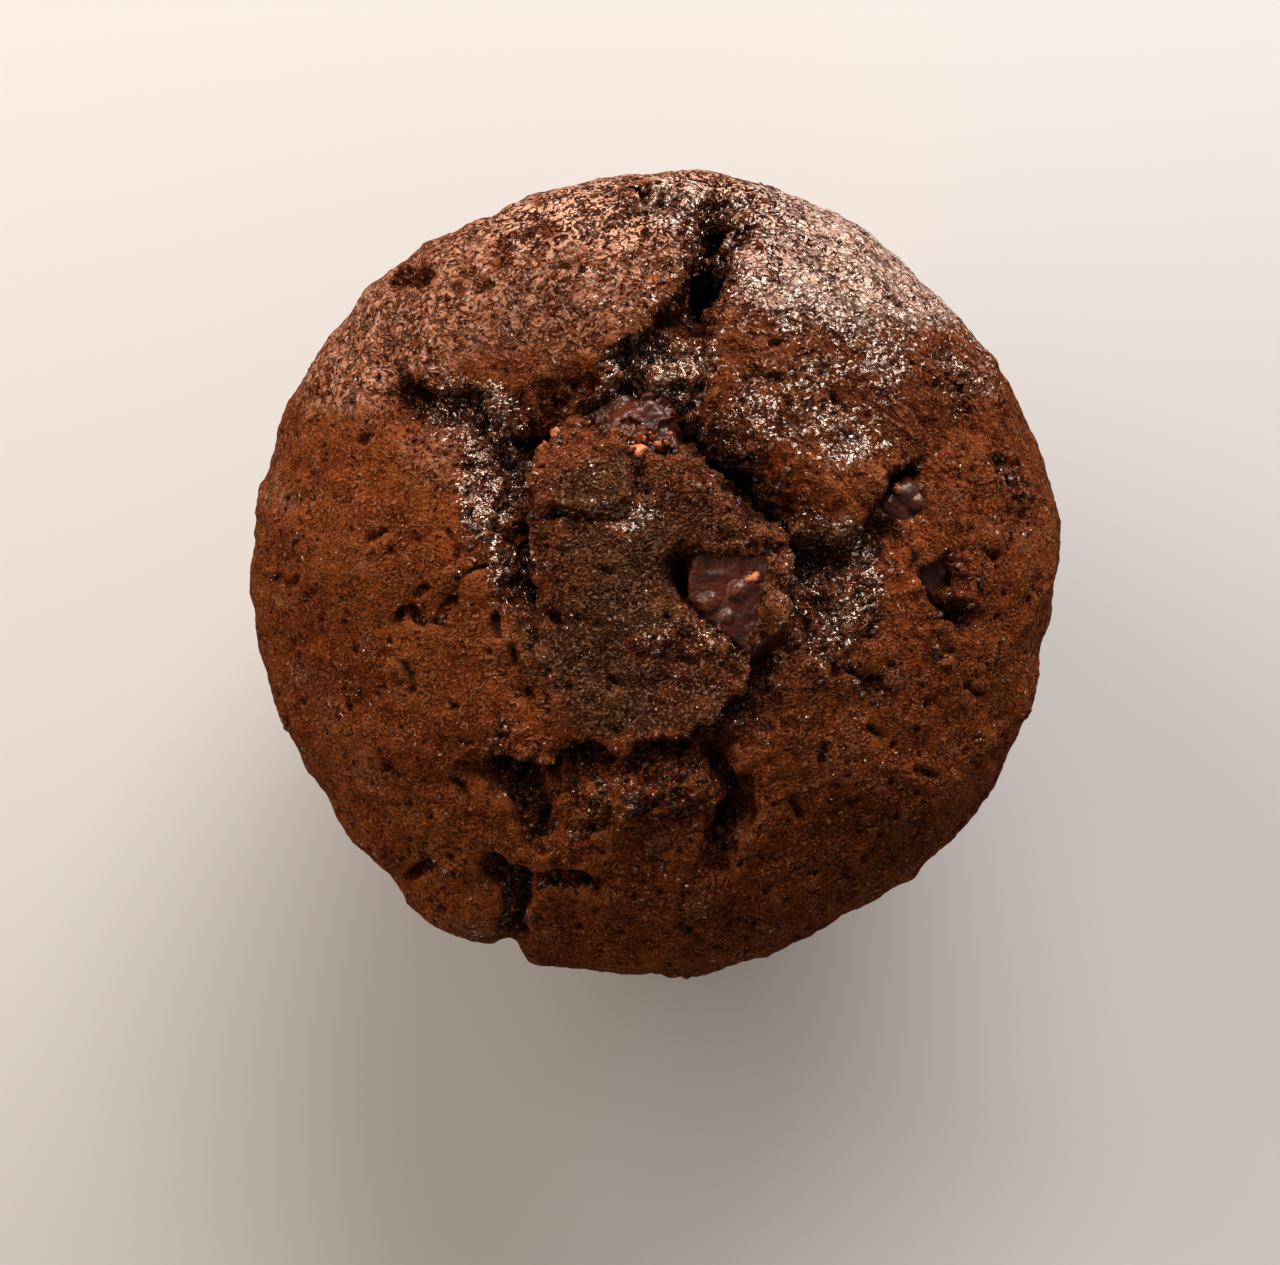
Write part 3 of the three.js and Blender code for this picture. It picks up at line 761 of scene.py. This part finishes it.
class Flow:
    """One output of a shader node."""

    def __init__(self, socket):
        self.socket = socket

    def math(self, operation, *others):
        node = self.socket.node.id_data.nodes.new("ShaderNodeMath")
        node.operation = operation
        for socket, term in zip(node.inputs, (self, *others)):
            plug(socket, term)
        return Flow(node.outputs[0])

    def __add__(self, other):
        return self.math("ADD", other)

    def __mul__(self, other):
        return self.math("MULTIPLY", other)

    def __sub__(self, other):
        return self.math("SUBTRACT", other)

    def __rsub__(self, other):
        return self.math("MULTIPLY_ADD", -1, other)  # self * -1 + other

    __radd__ = __add__
    __rmul__ = __mul__


class Finish:
    """A material made of nodes."""

    def __init__(self, name):
        self.material = bpy.data.materials.new(name)
        self.material.use_nodes = True
        self.tree = self.material.node_tree
        self.shader = self.tree.nodes["Principled BSDF"]

    def node(self, kind, settings=None, output=0, **values):
        """A node of a kind: its settings first, then its sockets."""
        node = self.tree.nodes.new("ShaderNode" + kind)
        for name, value in (settings or {}).items():
            setattr(node, name, value)
        plug_all(node, values)
        return Flow(node.outputs[output])

    def place(self):
        return self.node("TexCoord", output="Object")

    def noted(self, name):
        return self.node("Attribute", {"attribute_name": name}, output="Fac")

    def noise(self, size, detail=2.0, roughness=0.5, **more):
        """Soft noise from 0 to 1 with lumps of a size in millimetres."""
        more.setdefault("Vector", self.place())
        return self.node("TexNoise", Scale=1 / (size * MM), Detail=detail, Roughness=roughness, **more)

    def mix(self, share, first, second):
        """A colour between two others, each of them a flow or (red, green, blue) up to 255."""
        node = self.tree.nodes.new("ShaderNodeMix")
        node.data_type = "RGBA"
        plug(node.inputs["Factor"], share)
        # A Mix node's colours are its sockets 6 and 7, and the mixed one is its output 2.
        for socket, colour in zip(node.inputs[6:8], (first, second)):
            plug(socket, srgb(*colour) if isinstance(colour, tuple) else colour)
        return Flow(node.outputs[2])

    def step(self, value, low, high):
        """0 below low and 1 above high, smooth between."""
        smooth = {"interpolation_type": "SMOOTHSTEP"}
        return self.node("MapRange", smooth, Value=value, From_Min=low, From_Max=high)

    def bump(self, height, distance, **under):
        """Relief in millimetres that only the light sees, over another bump if its Normal is given."""
        return self.node("Bump", Height=height, Distance=distance * MM, Strength=1.0, **under)

    def blend(self, share, coat):
        """Mixes a second shader into the first by a share."""
        mixed = self.node("MixShader", Fac=share)
        self.tree.links.new(self.shader.outputs[0], mixed.socket.node.inputs[1])
        self.tree.links.new(coat.socket, mixed.socket.node.inputs[2])
        self.tree.links.new(mixed.socket, self.tree.nodes["Material Output"].inputs["Surface"])

    def set(self, **values):
        plug_all(self.shader, values)

    def dress(self, piece):
        """Gives a piece this material and smooth shading."""
        pick(piece)
        bpy.ops.object.shade_smooth()
        piece.data.materials.append(self.material)


def srgb(red, green, blue):
    """A colour as a paint program gives it, 0 to 255, in the linear form that shaders use."""
    shares = (red / 255, green / 255, blue / 255)
    return (*(c / 12.92 if c <= 0.04045 else ((c + 0.055) / 1.055) ** 2.4 for c in shares), 1.0)


# %% [markdown]
# ## Crumb material
#
# Baked chocolate crumb is dark orange-brown. Its crust is painted lighter and more golden to the west, as
# warm light from that side. It is pale and floury on the lifted cap, painted paler still as sheen along the
# north and north-east rim. It is darker to the south-east, partly a moister batter and partly painted shade.
# Torn crumb is darkest, and moist. Deep gaps, hollows, pits and creases get painted shade, and raised grains
# and ridges a painted highlight. The colours are laid over each other from broad to fine, as a painter does,
# each through a noise or a number noted on the surface.
#
# Moist crumb is a second shader, mixed in as small smooth spots with a coarser bump of their own, so that
# single spots glint. One shader with a varying roughness would give a grey veil. Pores and grains finer than
# the mesh are bump.

# %% Masks of the crumb
bake = Finish("baked_crumb")
torn_here, depth_here, hollow_here, side_here, plateau_here = map(
    bake.noted, ("torn", "depth", "hollow", "side", "plateau")
)
shine_here, sheen_here, mauve_here, dusky_here, draped_here = map(
    bake.noted, ("shine", "sheen", "mauve", "dusky", "draped")
)
# Crust to the west is painted lighter and more golden: painted warm light from that side.
painted_west_light = bake.step(bake.node("SeparateXYZ", Vector=bake.place()), 20 * MM, -20 * MM)
broad = bake.step(bake.noise(10, 3), 0.35, 0.65)
mottle = bake.step(bake.noise(1.6, 2, 0.6), 0.38, 0.62)
dry = bake.step(bake.noise(4.5, 3, 0.6), 0.47, 0.58)
grit = bake.noise(0.34, 1)
flecks = bake.step(grit, 0.53, 0.70)
pits = bake.step(grit - mauve_here * 0.06 - sheen_here * 0.03, 0.36, 0.29)
pores = bake.step(bake.noise(0.75, 1.5, 0.6) - mauve_here * 0.08, 0.35, 0.30)

# %% Wrinkles of the skin
# Along each wrinkle runs a thin crease, painted dark as shade, and beside it a ridge, painted pale as a
# highlight.
fold = bake.noise(1.4, 2.5, 0.6, Distortion=0.8) - 0.5
wrinkled = bake.step(bake.noise(2.6, 2) + mauve_here * 0.16 + sheen_here * 0.1, 0.38, 0.56)
widened = mauve_here * 0.016 + sheen_here * 0.008
crease = bake.step(fold.math("ABSOLUTE") - widened, 0.042, 0.008) * wrinkled
crease = crease * (mauve_here * 0.3 + sheen_here * 0.35 + plateau_here * 0.25 + torn_here * 0.3 + 0.6)
ridge = bake.step((fold - 0.07).math("ABSOLUTE"), 0.035, 0.005) * wrinkled

# On the north-east lobe the skin also slid, and hangs in folds along the rim: a noise drawn out one way.
turn = (0, 0, math.radians(-38))
long = bake.node("Mapping", {"vector_type": "TEXTURE"}, Vector=bake.place(), Rotation=turn, Scale=(2.6, 1, 1))
drape = bake.noise(4.2, 2, 0.6, Vector=long, Distortion=0.6) - 0.5
slid = draped_here * bake.step(bake.noise(3.5, 1), 0.42, 0.56)
crease = crease.math("MAXIMUM", bake.step(drape.math("ABSOLUTE"), 0.022, 0.005) * slid * 0.8)
# The ridge beside each drape fold is painted pale too, as a highlight.
ridge = ridge.math("MAXIMUM", bake.step((drape - 0.04).math("ABSOLUTE"), 0.03, 0.01) * slid * 0.4)

# %% Colours of crust and torn crumb
SHADOW_BROWN = (38, 8, 1)
# The cap's own pale floury tone, and a paler one where MAUVE is high along the north rim: painted sheen.
floury_and_sheen = bake.mix(bake.step(bake.noise(0.8, 2, 0.6), 0.43, 0.57), (114, 68, 50), (192, 146, 128))
floury_and_sheen = bake.mix(bake.step(mauve_here, 0.7, 1.1) * 0.75, floury_and_sheen, (196, 150, 130))
moist = bake.mix(mottle, (54, 19, 8), (90, 40, 20))
brink = bake.step(torn_here, 0.12, 0.3) * bake.step(torn_here, 0.8, 0.5) * (1 - plateau_here * 0.8)
# A paler tone for grain tops and for the ridge beside each crease: painted small highlights on the grain,
# over the crumb's own paler specks.
grain_highlight = bake.mix(plateau_here, (150, 96, 64), (134, 98, 80))
colour = bake.mix(broad, (80, 34, 13), (89, 41, 16))
# Each row lays a colour over the rows before it, through a share from 0 to 1.
for share, laid in (
    # painted warm light on the west side
    (broad * painted_west_light, (92, 46, 18)),
    # the cap's own floury tone, and painted sheen along the north and north-east rim
    ((mauve_here * 0.9).math("MAXIMUM", sheen_here * 0.55), floury_and_sheen),
    (plateau_here, (54, 32, 18)),
    (bake.step(torn_here, 0.15, 0.6), moist),
    (brink * mottle * 0.35, (130, 60, 24)),
    # painted darker: moister batter, and painted shade on the south flanks
    (dusky_here * 0.8, (57, 25, 14)),
    (mottle * 0.15, (50, 20, 6)),
    # painted highlights on the raised grains and on the ridges
    (flecks * (plateau_here * 0.2 + 0.36), grain_highlight),
    (ridge * 0.40, grain_highlight),
    (pits * 0.85, SHADOW_BROWN),
    (pores * 0.95, SHADOW_BROWN),
    (crease, SHADOW_BROWN),
    # painted shade in hollows, a painted highlight on raised bumps, and painted shade deep in the gaps
    (bake.step(hollow_here, 0.1, 0.9) * 0.72, (32, 7, 2)),
    (bake.step(hollow_here, -0.1, -0.9) * 0.25, (132, 76, 42)),
    (bake.step(depth_here, 0.7, 1.0) * 0.8, (12, 6, 4)),
    (side_here * 0.6, (84, 38, 16)),
):
    colour = bake.mix(share, colour, laid)

# %% Relief, and the dry and the moist shader
coarse = bake.bump(bake.noise(1.3), 0.5)
draped_skin = bake.bump(bake.step(drape, -0.1, 0.1) * draped_here, 0.5, Normal=coarse)
grain = grit * (plateau_here * 0.5 + 0.8) + ridge * 0.3 - crease * (mauve_here * 1.3 + 0.6) - pores * 0.8
bake.set(
    Base_Color=colour,
    Roughness=0.9,
    Normal=bake.bump(grain, 0.36, Normal=draped_skin),
    Specular_IOR_Level=0.02,
    Coat_Weight=(sheen_here * (1 - dry) * 1.4 + mauve_here * 0.3) * flecks * 0.6,
    Coat_Roughness=0.42,
)
glints = bake.noise(0.55, 1, Distortion=0.3) * 0.8 + bake.noise(1.5, 1) * 1.9
wet = bake.node(
    "BsdfPrincipled", Base_Color=colour, Roughness=0.34 - torn_here * 0.14, Specular_IOR_Level=1.0,
    Specular_Tint=(1.0, 0.9, 0.84, 1.0), IOR=1.8, Normal=bake.bump(glints, 0.75, Normal=draped_skin),
)
wetness = shine_here + sheen_here + torn_here * 0.3 - side_here * 0.3 - dry * 0.4
film = bake.step(bake.noise(0.55, 1.5) + wetness * 0.32, 0.675, 0.725)
film = film * bake.step(grit + wetness * 0.06, 0.42, 0.48)
bake.blend(film * (1 - crease) * (1 - pores), wet)
for piece in (crown, stump):
    bake.dress(piece)
    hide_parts("crumb")
    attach(piece, "root")

# %% [markdown]
# ## Lumps of chocolate
#
# Chocolate chunks break with flat faces and sharp edges, and in the oven the edges soften and small drops
# swell up. So each lump starts as a block, is cut to its outline by one plane per side, gets bevelled edges
# and a few balls pressed into its face. A voxel remesh melts them into one skin.

# %% Chunks of chocolate
MELT = 0.16
CHUNK_TRIANGLES = 24_000
HIGH_UP = 0.1


def broken_chunk(name, chunk):
    """A block cut along its outline, leaning, with melted drops on its face."""
    corners = np.array(chunk["corners"], float)
    low, high = corners.min(0) - 1, corners.max(0) + 1
    middle, span = (low + high) / 2, high - low
    level = chunk["top"] * MM
    bpy.ops.mesh.primitive_cube_add(
        size=MM, location=(*(middle * MM), level - chunk["depth"] / 2 * MM), scale=(*span, chunk["depth"])
    )
    piece = bpy.context.object
    piece.name = name + "_melted"
    bpy.ops.object.transform_apply()
    bpy.ops.object.mode_set(mode="EDIT")
    for start, end in zip(corners, np.roll(corners, -1, axis=0)):
        along = end - start
        bpy.ops.mesh.select_all(action="SELECT")
        away = (along[1], -along[0], 0.12 * np.hypot(*along))
        bpy.ops.mesh.bisect(plane_co=(*(start * MM), level), plane_no=away, clear_outer=True, use_fill=True)
    bpy.ops.mesh.select_all(action="SELECT")
    bpy.ops.mesh.bevel(offset=0.5 * MM, segments=3, affect="EDGES")
    for axis, degrees in zip("XY", chunk["lean"]):
        bpy.ops.mesh.select_all(action="SELECT")
        turn = -math.radians(degrees)
        bpy.ops.transform.rotate(value=turn, orient_axis=axis, center_override=(*(middle * MM), level))
    bpy.ops.object.mode_set(mode="OBJECT")
    for x, y, radius in chunk["blobs"]:
        _, place, _, _ = piece.ray_cast((x * MM, y * MM, HIGH_UP), (0, 0, -1))
        bpy.ops.mesh.primitive_ico_sphere_add(
            subdivisions=3, radius=radius * MM, location=(x * MM, y * MM, place.z - 0.55 * radius * MM)
        )
        bpy.ops.object.transform_apply()
        piece.select_set(True)
        bpy.context.view_layer.objects.active = piece
        bpy.ops.object.join()
    remeshed(piece, MELT)
    places = corners_mm(piece)
    creasing = ramp(0.16, 0.0, abs(cloud(places, 1.9, 8.8))) - ramp(0.1, 0.3, cloud(places, 1.1, 2.8))
    dents = 0.22 * clouds(places, 2.6, 3, 3.1) + chunk.get("creased", 0.05) * creasing
    put_corners(piece, places + facings(piece) * dents[:, None])
    thinned(piece, CHUNK_TRIANGLES)
    return piece


chunks = {name: broken_chunk(name, chunk) for name, chunk in CHUNKS.items()}
for name, piece in chunks.items():
    print(name, len(piece.data.polygons), "faces")

# %% [markdown]
# ## Chocolate material
#
# Melted and set again, the chocolate is a mauve brown with a soft sheen. In places it has duller patches,
# painted near-black as shade.

# %% Colour of chocolate
melt = Finish("melted_chocolate")
smear_and_shade = melt.step(melt.noise(1.9, 3, 0.6), 0.52, 0.66)
cocoa = melt.mix(melt.step(melt.noise(3.0, 2), 0.35, 0.65), (54, 18, 9), (70, 28, 16))
# Duller patches at random, painted near-black: painted shade, darker than the cocoa itself.
cocoa = melt.mix(smear_and_shade * 0.8, cocoa, (26, 7, 3))
waxy = melt.bump(melt.noise(0.8, 2, 0.5), 0.25)
melt.set(Base_Color=cocoa, Roughness=smear_and_shade * 0.25 + 0.33, Normal=waxy, Specular_IOR_Level=0.32)
for name, piece in chunks.items():
    melt.dress(piece)
    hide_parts(name)
    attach(piece, "root")

# %% [markdown]
# ## Nibs and loose crumbs
#
# A few pale orange nibs sit on the chocolate. Torn crumb also sheds tiny crumbs, which lie in the tears and
# along their lips. Six of them are modelled, as balls knocked out of shape. Copies are laid on the torn
# surface at random, each turned and scaled in its own way, and written as one mesh.

# %% Scattering small pieces


def level_under(x, y):
    """The highest level over a spot, of the crown or of a lump, in millimetres."""
    casts = [piece.ray_cast((x * MM, y * MM, HIGH_UP), (0, 0, -1)) for piece in (crown, *chunks.values())]
    return max(place.z for hit, place, _, _ in casts if hit) / MM


def knocked(seed, knocks):
    """The corners and faces of a ball knocked out of shape: the model of one crumb."""
    bpy.ops.mesh.primitive_uv_sphere_add(radius=MM, segments=8, ring_count=5)
    piece = bpy.context.object
    bpy.ops.object.mode_set(mode="EDIT")
    bpy.ops.mesh.select_all(action="SELECT")
    bpy.ops.transform.vertex_random(offset=knocks * MM, uniform=0.6, normal=0.4, seed=seed)
    bpy.ops.object.mode_set(mode="OBJECT")
    corners, faces = corners_mm(piece), [tuple(face.vertices) for face in piece.data.polygons]
    bpy.data.objects.remove(piece)
    # Blender lists faces in another order each run, so each starts at its lowest corner and all are sorted.
    return corners, sorted(min(face[i:] + face[:i] for i in range(len(face))) for face in faces)


def turned(corners, rng):
    """A shape's corners, stretched a little and turned, each time in another way."""
    stretched = corners * rng.uniform((0.8, 0.6, 0.525), (1.25, 1.1, 0.9))
    axes, _ = np.linalg.qr(rng.normal(size=(3, 3)))
    if np.linalg.det(axes) < 0:
        axes[:, 0] *= -1
    return stretched @ axes.T


def strewn(name, shapes, spots, rng):
    """One mesh with a copy of a random shape at each spot: its place and radius in millimetres."""
    corners, faces = [], []
    for place, radius in spots:
        shape, shape_faces = shapes[rng.integers(len(shapes))]
        start = len(corners)
        corners.extend(turned(shape, rng) * radius + place)
        faces += [[start + corner for corner in face] for face in shape_faces]
    mesh = bpy.data.meshes.new(name)
    mesh.from_pydata((np.array(corners) * MM).tolist(), [], faces)
    piece = bpy.data.objects.new(name, mesh)
    bpy.context.scene.collection.objects.link(piece)
    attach(piece, "root")
    return piece


crumb_shapes = [knocked(seed, 0.42) for seed in range(6)]
nib_shapes = [knocked(40 + seed, 0.34) for seed in range(3)]

# %% Nibs
# Where each nib lies, and its radius.
NIBS = [
    (-10.9, 14.6, 0.85), (-12.1, 13.0, 0.5), (-2.1, 12.4, 0.9), (-3.0, 12.7, 0.5), (-0.6, 14.2, 0.6),
    (0.9, 13.6, 0.5), (0.1, 13.1, 0.6), (1.2, 14.4, 0.45), (-1.5, 13.8, 0.4), (10.2, -0.7, 0.7),
    (9.5, -1.1, 0.4), (25.7, 8.8, 0.75),
]
nib_spots = [(np.array([x, y, level_under(x, y) - 0.1 * radius]), radius) for x, y, radius in NIBS]
nibs = strewn("nibs", nib_shapes, nib_spots, np.random.default_rng(5))
nut = Finish("roasted_nib")
nut_colour = nut.mix(nut.step(nut.noise(0.9, 2), 0.42, 0.62), (112, 42, 22), (182, 108, 64))
nut.set(Base_Color=nut_colour, Roughness=0.5, Normal=nut.bump(nut.noise(0.4, 2), 0.2), Specular_IOR_Level=0.4)
nut.dress(nibs)

# %% Loose crumbs
CRUMBS = 2000
crumb_dice = np.random.default_rng(21)
places = corners_mm(crown)
facing = facings(crown)
torn_share = np.empty(len(places))
crown.data.attributes["torn"].data.foreach_get("value", torn_share)
# Vertices crowd where the surface is rough, which is where crumbs lie as well.
chance = torn_share**2 * ramp(0.1, 0.5, facing[:, 2]) * ramp(46, 54, places[:, 2])
chance += 0.004 * (places[:, 2] > 50)
for chunk in CHUNKS.values():
    chance *= np.where(inside_by(chunk["shown"], places[:, :2]) > 0.4, 0.15, 1)
chosen = crumb_dice.choice(len(places), size=CRUMBS, replace=False, p=chance / chance.sum())
sizes = 0.15 + 0.42 * crumb_dice.random(len(chosen)) ** 2.6
sizes *= np.where(torn_share[chosen] < 0.25, 0.55, 1)
crumb_spots = [(places[i] + facing[i] * 0.05 * size, size) for i, size in zip(chosen, sizes)]
crumbs = strewn("loose_crumbs", crumb_shapes, crumb_spots, crumb_dice)
loose = Finish("loose_crumb")
tint = loose.step(loose.noise(2.5, 2, 0.6), 0.38, 0.62)
loose_colour = loose.mix(tint, (44, 18, 7), (86, 40, 14))
loose_colour = loose.mix(loose.step(loose.noise(0.4, 1), 0.5, 0.36) * 0.6, loose_colour, (26, 9, 4))
crumbly = loose.bump(loose.noise(0.4, 1.5), 0.5)
loose.set(Base_Color=loose_colour, Roughness=0.85, Normal=crumbly, Specular_IOR_Level=0.15)
loose_wet = loose.node(
    "BsdfPrincipled", Base_Color=loose_colour, Roughness=0.17, Normal=crumbly, Specular_IOR_Level=1.0
)
loose.blend(loose.step(loose.noise(0.7, 1), 0.44, 0.54) * 0.5, loose_wet)
loose.dress(crumbs)
print("nibs:", len(nibs.data.polygons), "faces; loose crumbs:", len(crumbs.data.polygons), "faces")

# %% [markdown]
# ## Floor and light
#
# The muffin stands on a plain pale floor. Soft square lights, like windows, stand beyond its far edge, the
# strongest a little to the right. A weak warm one on the left and a low one in front keep the near sides from
# going black.

# %% Floor, windows and fill
bpy.ops.mesh.primitive_plane_add(size=20)
floor = bpy.context.object
floor.name = "floor"
table = Finish("pale_floor")
table.set(Base_Color=srgb(184, 184, 190), Roughness=0.6)
table.dress(floor)


def lamp(name, location, size, power, colour, aim=(0, 0, 0.05)):
    """A square light that faces a point."""
    bpy.ops.object.light_add(type="AREA", location=location)
    light = bpy.context.object
    light.name = name
    light.data.size = size
    light.data.energy = power
    light.data.color = colour
    light.rotation_euler = (Vector(aim) - Vector(location)).to_track_quat("-Z", "Y").to_euler()


lamp("window", (0.12, 0.70, 0.42), 0.5, 12.0, (1.0, 0.92, 0.80))
lamp("far_window", (-0.53, 0.45, 0.45), 0.4, 4.5, (1.0, 0.90, 0.76))
lamp("low_window", (0.42, 0.66, 0.22), 0.3, 4.0, (1.0, 0.95, 0.90))
lamp("warm_wall", (-0.75, 0.0, 0.32), 0.4, 2.4, (1.0, 0.66, 0.34))
lamp("low_fill", (0.2, -0.8, 0.08), 0.4, 0.8, (1.0, 0.86, 0.70), aim=(0, 0, 0.03))
room = bpy.data.worlds.new("room_light")
room.use_nodes = True
plug_all(room.node_tree.nodes["Background"], {"Color": (1.0, 0.92, 0.80, 1), "Strength": 0.25})
bpy.context.scene.world = room
bpy.context.scene.view_settings.view_transform = "Standard"
